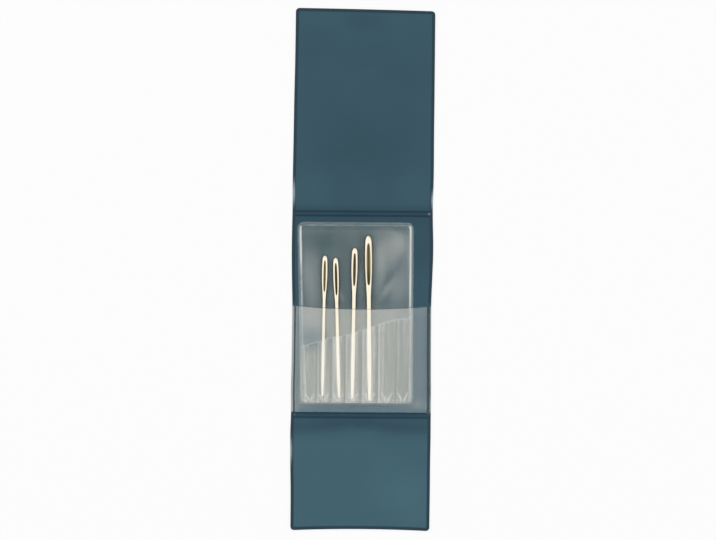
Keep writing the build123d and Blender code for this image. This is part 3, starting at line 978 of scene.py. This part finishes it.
def add_node(tree, kind, inputs=None, **settings):
    """Adds a node. A socket in inputs is linked, and any other value is set."""
    node = tree.nodes.new(kind)
    for name, value in settings.items():
        setattr(node, name, value)
    for name, value in (inputs or {}).items():
        if isinstance(value, bpy.types.NodeSocket):
            tree.links.new(value, node.inputs[name])
        else:
            node.inputs[name].default_value = value
    return node


def new_material(name):
    """A material with nothing in it, and its node tree."""
    material = bpy.data.materials.new(name)
    material.use_nodes = True
    material.node_tree.nodes.clear()
    return material, material.node_tree


def finished(material, inputs):
    """The material, ended in one Principled shader with these inputs."""
    shader = add_node(material.node_tree, "ShaderNodeBsdfPrincipled", inputs)
    add_node(material.node_tree, "ShaderNodeOutputMaterial", {"Surface": shader.outputs["BSDF"]})
    return material


# %% [markdown]
# The recipes share one ingredient: a colour that runs from one to another by a number on the vertices. Real
# sheet is never quite even, so a noise pattern can make that number drift a little.

# %% A colour that follows a number
def coloured_by(tree, name, first, second, pattern=None, strength=0):
    """A colour from the first to the second by the number kept under this name, drifting with a pattern."""
    share = add_node(tree, "ShaderNodeAttribute", attribute_name=name).outputs["Fac"]
    if pattern:
        noise = add_node(tree, "ShaderNodeTexNoise", pattern)
        limits = {"From Min": 0.3, "From Max": 0.7, "To Min": -strength, "To Max": strength}
        drift = add_node(tree, "ShaderNodeMapRange", {"Value": noise.outputs["Fac"], **limits})
        inputs = {0: share, 1: drift.outputs["Result"]}
        share = add_node(tree, "ShaderNodeMath", inputs, operation="ADD").outputs["Value"]
    return add_node(tree, "ShaderNodeMix", {0: share, 6: first, 7: second}, data_type="RGBA").outputs[2]


# %% [markdown]
# The wallet is plasticised PVC sheet, calendered between rollers: satin, slightly uneven in tone, with a fine
# matt grain that only shows as a soft sheen. It is darker where the weld has pressed it. Light and shade are
# painted into its colour by numbers on the vertices: painted shade in the scored lines and where less light
# falls, painted light where more falls, and painted highlights where the rim catches the light. The pattern
# reads the flat sheet, so it folds along.

# %% Calendered teal vinyl
blotch_size = 22 * mm
grain_size = 0.35 * mm  # the real grain is finer and wouldn't show


def calendered_vinyl(name, light, dark, pressed, glint):
    """Satin vinyl. Its painted light and shade, pressed rim and painted rim highlights come from the vertices.
    """
    material, tree = new_material(name)
    flat = add_node(tree, "ShaderNodeAttribute", attribute_name="flat").outputs["Vector"]
    blotches = {"Vector": flat, "Scale": 1 / blotch_size, "Detail": 3.0, "Roughness": 0.5}
    colour = coloured_by(tree, "painted_light", screen_colour(dark), screen_colour(light), blotches, 0.035)
    colour = coloured_by(tree, "rim", colour, screen_colour(pressed))
    colour = coloured_by(tree, "rim_glint", colour, screen_colour(glint))
    inputs = {"Vector": flat, "Scale": 1 / grain_size, "Detail": 2.0}
    grain = add_node(tree, "ShaderNodeTexNoise", inputs).outputs["Fac"]
    sheen = add_node(tree, "ShaderNodeMapRange", {"Value": grain, "To Min": 0.44, "To Max": 0.62})
    relief = add_node(tree, "ShaderNodeBump", {"Height": grain, "Strength": 0.15, "Distance": 0.02 * mm})
    inputs = {"Base Color": colour, "Roughness": sheen.outputs["Result"], "Normal": relief.outputs["Normal"]}
    return finished(material, inputs | {"IOR": 1.5, "Specular IOR Level": 0.25})


# The first two colours are the light and dark ends of the painted light and shade, the third is the pressed rim
# and the fourth the painted rim highlights.
teal_vinyl = calendered_vinyl("calendered_teal_vinyl", "#3f6470", "#00283a", "#183441", "#a9b8bd")
print(teal_vinyl.name, len(teal_vinyl.node_tree.nodes), "nodes")

# %% [markdown]
# Both films are vinyl too. The pocket's has one face embossed with a fine frost, which scatters light evenly,
# so it is a low, constant opacity over a pale grey. The insert's film is clear and glossy, but it reflects so
# much of a bright room that it looks milky in patches. A true glass shader would need that whole room, so the
# milkiness is put in its colour instead, by the numbers kept on the vertices.

# %% Frosted and clear film
film_ior = 1.53
strip_grain = 1.5 * mm


def finished_film(material, colour, roughness, opacity):
    """The material of a film whose two walls together have this opacity."""
    alpha = 1 - sqrt(1 - opacity)
    return finished(material, {"Base Color": colour, "Roughness": roughness, "IOR": film_ior, "Alpha": alpha})


def film(name, opacity, milky, clear, roughness, streak_size, streak_strength):
    """A film with a constant opacity, whose colour runs from clear to milky."""
    material, tree = new_material(name)
    flat = add_node(tree, "ShaderNodeAttribute", attribute_name="flat").outputs["Vector"]
    scale = (1 / streak_size[0], 1 / streak_size[1], 1)
    stretched = add_node(tree, "ShaderNodeMapping", {"Vector": flat, "Scale": scale}).outputs["Vector"]
    streaks = {"Vector": stretched, "Scale": 1.0, "Detail": 3.0, "Roughness": 0.6}
    colour = coloured_by(tree, "haze_and_painted_light", screen_colour(clear), screen_colour(milky), streaks, streak_strength)
    return finished_film(material, colour, roughness, opacity)


def film_strip(name, opacity, colour, roughness):
    """A plain strip of film of one colour: welds, and the painted shade and highlights of cut edges and
    creases.
    """
    material, tree = new_material(name)
    flat = add_node(tree, "ShaderNodeAttribute", attribute_name="flat").outputs["Vector"]
    inputs = {"Vector": flat, "Scale": 1 / strip_grain, "Detail": 2.0}
    grain = add_node(tree, "ShaderNodeTexNoise", inputs).outputs["Fac"]
    inputs = {0: grain, 6: screen_colour(colour), 7: screen_colour(colour, 0.8)}
    shade = add_node(tree, "ShaderNodeMix", inputs, data_type="RGBA").outputs[2]
    return finished_film(material, shade, roughness, opacity)


# The frosted film's milky colour also carries painted highlights, and the dark grey of its cut edge is a
# painted line of shade.
pocket_finish = [
    film("frosted_vinyl_film", 0.28, "#fffcee", "#90a9b4", 0.5, (9 * mm, 26 * mm), 0.06),
    film_strip("welded_frosted_film", 0.96, "#1c3038", 0.35),
    film_strip("cut_edge_of_frosted_film_painted_shade", 0.3, "#3d4748", 0.4),
]
back_film_finish = [
    film("clear_vinyl_film", 0.35, "#f2f2ea", "#465c58", 0.18, (5 * mm, 30 * mm), 0.06),
    film("welded_clear_film", 0.66, "#f4f8f6", "#66787c", 0.15, (5 * mm, 9 * mm), 0.15),
]
# The channel film's long streaks are painted reflections, and the white of its cut edge and creases is painted
# highlight.
channel_finish = [
    film("clear_vinyl_channel_film", 0.32, "#fdfdf8", "#3e4a45", 0.18, (0.9 * mm, 45 * mm), 0.5),
    film_strip("welded_channel_film", 0.6, "#364447", 0.2),
    film_strip("cut_edge_of_channel_film_painted_highlight", 0.36, "#f2f4f0", 0.2),
    film_strip("channel_film_crease_painted_highlight", 0.42, "#ffffff", 0.3),
]
print([material.name for material in pocket_finish + back_film_finish + channel_finish])

# %% [markdown]
# The needles are steel with a bright, pale gold plating. Drawn wire keeps very fine lines along its length,
# which stretch every reflection, so the roughness varies in long thin streaks. Inside the eye the plating stays
# rough, and it is painted brown as shade, because light hardly gets in. The head's flanks are painted darker
# too, for the dark surroundings that they reflect.

# %% Gold plating
draw_line_width = 0.12 * mm  # the real lines are finer and wouldn't show
draw_line_length = 12 * mm


def plating(name, colour, shade_colour, metallic, low_roughness, high_roughness):
    """Plated steel with lengthwise streaks, painted a darker brown by a number on the vertices, as painted
    shade.
    """
    material, tree = new_material(name)
    flat = add_node(tree, "ShaderNodeAttribute", attribute_name="flat").outputs["Vector"]
    scale = (1 / draw_line_width, 1 / draw_line_length, 1 / draw_line_width)
    stretched = add_node(tree, "ShaderNodeMapping", {"Vector": flat, "Scale": scale}).outputs["Vector"]
    inputs = {"Vector": stretched, "Scale": 1.0, "Detail": 2.0}
    lines = add_node(tree, "ShaderNodeTexNoise", inputs).outputs["Fac"]
    inputs = {"Value": lines, "To Min": low_roughness, "To Max": high_roughness}
    streaks = add_node(tree, "ShaderNodeMapRange", inputs)
    inputs = {0: lines, 6: screen_colour(colour), 7: screen_colour(colour, 0.9)}
    shade = add_node(tree, "ShaderNodeMix", inputs, data_type="RGBA").outputs[2]
    relief = add_node(tree, "ShaderNodeBump", {"Height": lines, "Strength": 0.1, "Distance": 0.01 * mm})
    brown = screen_colour(shade_colour)
    inputs = {"Base Color": coloured_by(tree, "painted_shade", shade, brown), "Metallic": metallic}
    inputs |= {"Specular Tint": coloured_by(tree, "painted_shade", white, brown)}
    inputs |= {"Roughness": streaks.outputs["Result"], "Normal": relief.outputs["Normal"]}
    return finished(material, inputs)


# The second colour of each is the painted shade on the flanks and in the eye, and the eye's own colour is
# painted darker too, as shade.
needle_finish = [
    plating("bright_gold_plating", "#e2dac6", "#57482a", 1.0, 0.3, 0.42),
    plating("plating_in_eye_painted_shade", "#958556", "#5f4f2e", 0.3, 0.45, 0.6),
]
print([material.name for material in needle_finish])

# %% [markdown]
# A piece's finishes go in by the order in which its faces were numbered.

# %% Give each piece its finish
finishes = [
    ([sheet for pair in sheets.values() for sheet in pair], [teal_vinyl]),
    ([pocket], pocket_finish),
    ([back_film], back_film_finish),
    ([channel_film], channel_finish),
    (list(needles.values()), needle_finish),
]
for pieces, materials in finishes:
    for piece in pieces:
        for index, material in enumerate(materials):
            if index < len(piece.data.materials):
                piece.data.materials[index] = material
            else:
                piece.data.materials.append(material)
print({piece.name: len(piece.data.materials) for pieces, _ in finishes for piece in pieces})

# %% [markdown]
# The pocket, the insert's films and the needles now each move with a body of the CAD model. The sheets are
# baked where they lie. The CAD nodes that all these pieces stand for are hidden.
#
# Thin film throws no shadow and doesn't dim what it covers. The renderer can't work that out: it follows a
# ray through eight see-through walls, and three films have six on the way in and six on the way out. So only
# the camera sees the films.

# %% Ride, and hide the CAD nodes
def bend_across(zone, nodes):
    """Bakes a zone's sheets where they lie, and hides the CAD nodes that they stand for."""
    for sheet, ply in zip(sheets[zone], ("lining", "cover")):
        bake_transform(sheet)
        for node in nodes:
            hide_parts(node.replace("PLY", ply))


for side, flap in (("upper", "long_flap"), ("lower", "short_flap")):
    fold = f"{side}_fold"
    near_nodes = ("middle_PLY", f"{fold}_strip")
    bend_across(f"{side}_half", near_nodes)
    bend_across(flap, (f"{flap}_PLY",))

riders = [
    (pocket, "middle_panel", "pocket_film", "frosted_film"),
    (back_film, "insert", "insert_back_film", "clear_film"),
    (channel_film, "insert", "insert_channel_film", "clear_film"),
]
riders += [(needle, f"{node}_body", node, "gilt_steel") for node, needle in needles.items()]
for piece, body, node, slot in riders:
    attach(piece, body)
    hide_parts(node)
for veil in (pocket, back_film, channel_film):
    veil.visible_shadow = False
    veil.visible_diffuse = False
    veil.visible_glossy = False
print({piece.name: body for piece, body, _, _ in riders})

# %% [markdown]
# The wallet is photographed lying on white, from straight above. The floor is a plain pale plane. What the
# camera and reflections see of it is mostly a plain white glow, so the picture's background is white, but
# a share of it is still lit, which keeps the wallet's soft shadow.

# %% White floor and world
floor_size = 4
floor_drop = 0.1 * mm
glow_share = 0.8
room_light = 0.7
paper_grey = (0.9, 0.9, 0.9, 1)


def seen_directly(tree):
    """1 for camera, glossy and transmission rays and 0 for those that only carry light."""
    path = add_node(tree, "ShaderNodeLightPath").outputs
    seen = path["Is Camera Ray"]
    for ray in ("Is Glossy Ray", "Is Transmission Ray"):
        seen = add_node(tree, "ShaderNodeMath", {0: seen, 1: path[ray]}, operation="MAXIMUM").outputs["Value"]
    return seen


bpy.ops.object.select_all(action="DESELECT")
bpy.ops.mesh.primitive_plane_add(size=floor_size, location=(0, 0, -floor_drop))
floor = bpy.context.object
floor.name = "floor"
paper, tree = new_material("white_paper")
weight = add_node(tree, "ShaderNodeMath", {0: seen_directly(tree), 1: glow_share}, operation="MULTIPLY")
lit = add_node(tree, "ShaderNodeBsdfDiffuse", {"Color": paper_grey})
glow = add_node(tree, "ShaderNodeEmission", {"Color": white, "Strength": 1.0})
both = add_node(tree, "ShaderNodeMixShader", {0: weight.outputs[0], 1: lit.outputs[0], 2: glow.outputs[0]})
add_node(tree, "ShaderNodeOutputMaterial", {"Surface": both.outputs[0]})
floor.data.materials.append(paper)

world = bpy.data.worlds.new("white_studio")
world.use_nodes = True
world.node_tree.nodes.clear()
bpy.context.scene.world = world
tree = world.node_tree
strength = add_node(tree, "ShaderNodeMapRange", {"Value": seen_directly(tree), "To Min": room_light})
sky = add_node(tree, "ShaderNodeBackground", {"Color": white, "Strength": strength.outputs["Result"]})
add_node(tree, "ShaderNodeOutputWorld", {"Surface": sky.outputs[0]})
print("floor and world are in place")

# %% [markdown]
# Two big soft lamps stand at the sides, high enough for the light to be even and low enough for the flat
# vinyl not to mirror them. Together with the room they light a surface to about its written colour.

# %% Soft lamps
lamp_size = 1.7
soft_lamps = {  # place in metres, and power in watts
    "left_softbox": ((-0.75, 0.25, 0.85), 4.8),
    "right_softbox": ((0.75, -0.1, 0.85), 4.2),
}
for name, (place, power) in soft_lamps.items():
    light = bpy.data.lights.new(name, "AREA")
    light.energy = power
    light.size = lamp_size
    lamp = bpy.data.objects.new(name, light)
    lamp.location = place
    lamp.rotation_euler = (-lamp.location).to_track_quat("-Z", "Y").to_euler()
    bpy.context.collection.objects.link(lamp)
print("lamps:", list(soft_lamps))

# %% [markdown]
# The camera looks straight down with a long lens, as in a catalogue picture. Its distance follows from the
# picture's scale, at which 716 pixels are 309 mm wide. It is turned by less than half a degree and set a
# little off the centre, because the wallet wasn't quite straight in the picture.

# %% Camera
lens, sensor = 100, 36
picture_width = 716 * 0.4317 * mm
camera_x, camera_y, camera_turn = -1.58 * mm, -0.17 * mm, radians(0.4)
camera_data = bpy.data.cameras.new("camera")
camera_data.lens = lens
camera_data.sensor_width = sensor
camera = bpy.data.objects.new("camera", camera_data)
camera.location = (camera_x, camera_y, picture_width * lens / sensor + inner_face * mm)
camera.rotation_euler = (0, 0, camera_turn)
bpy.context.collection.objects.link(camera)
bpy.context.scene.camera = camera
bpy.context.scene.view_settings.view_transform = "Standard"
print(f"camera {camera.location.z:.3f} m above the table")
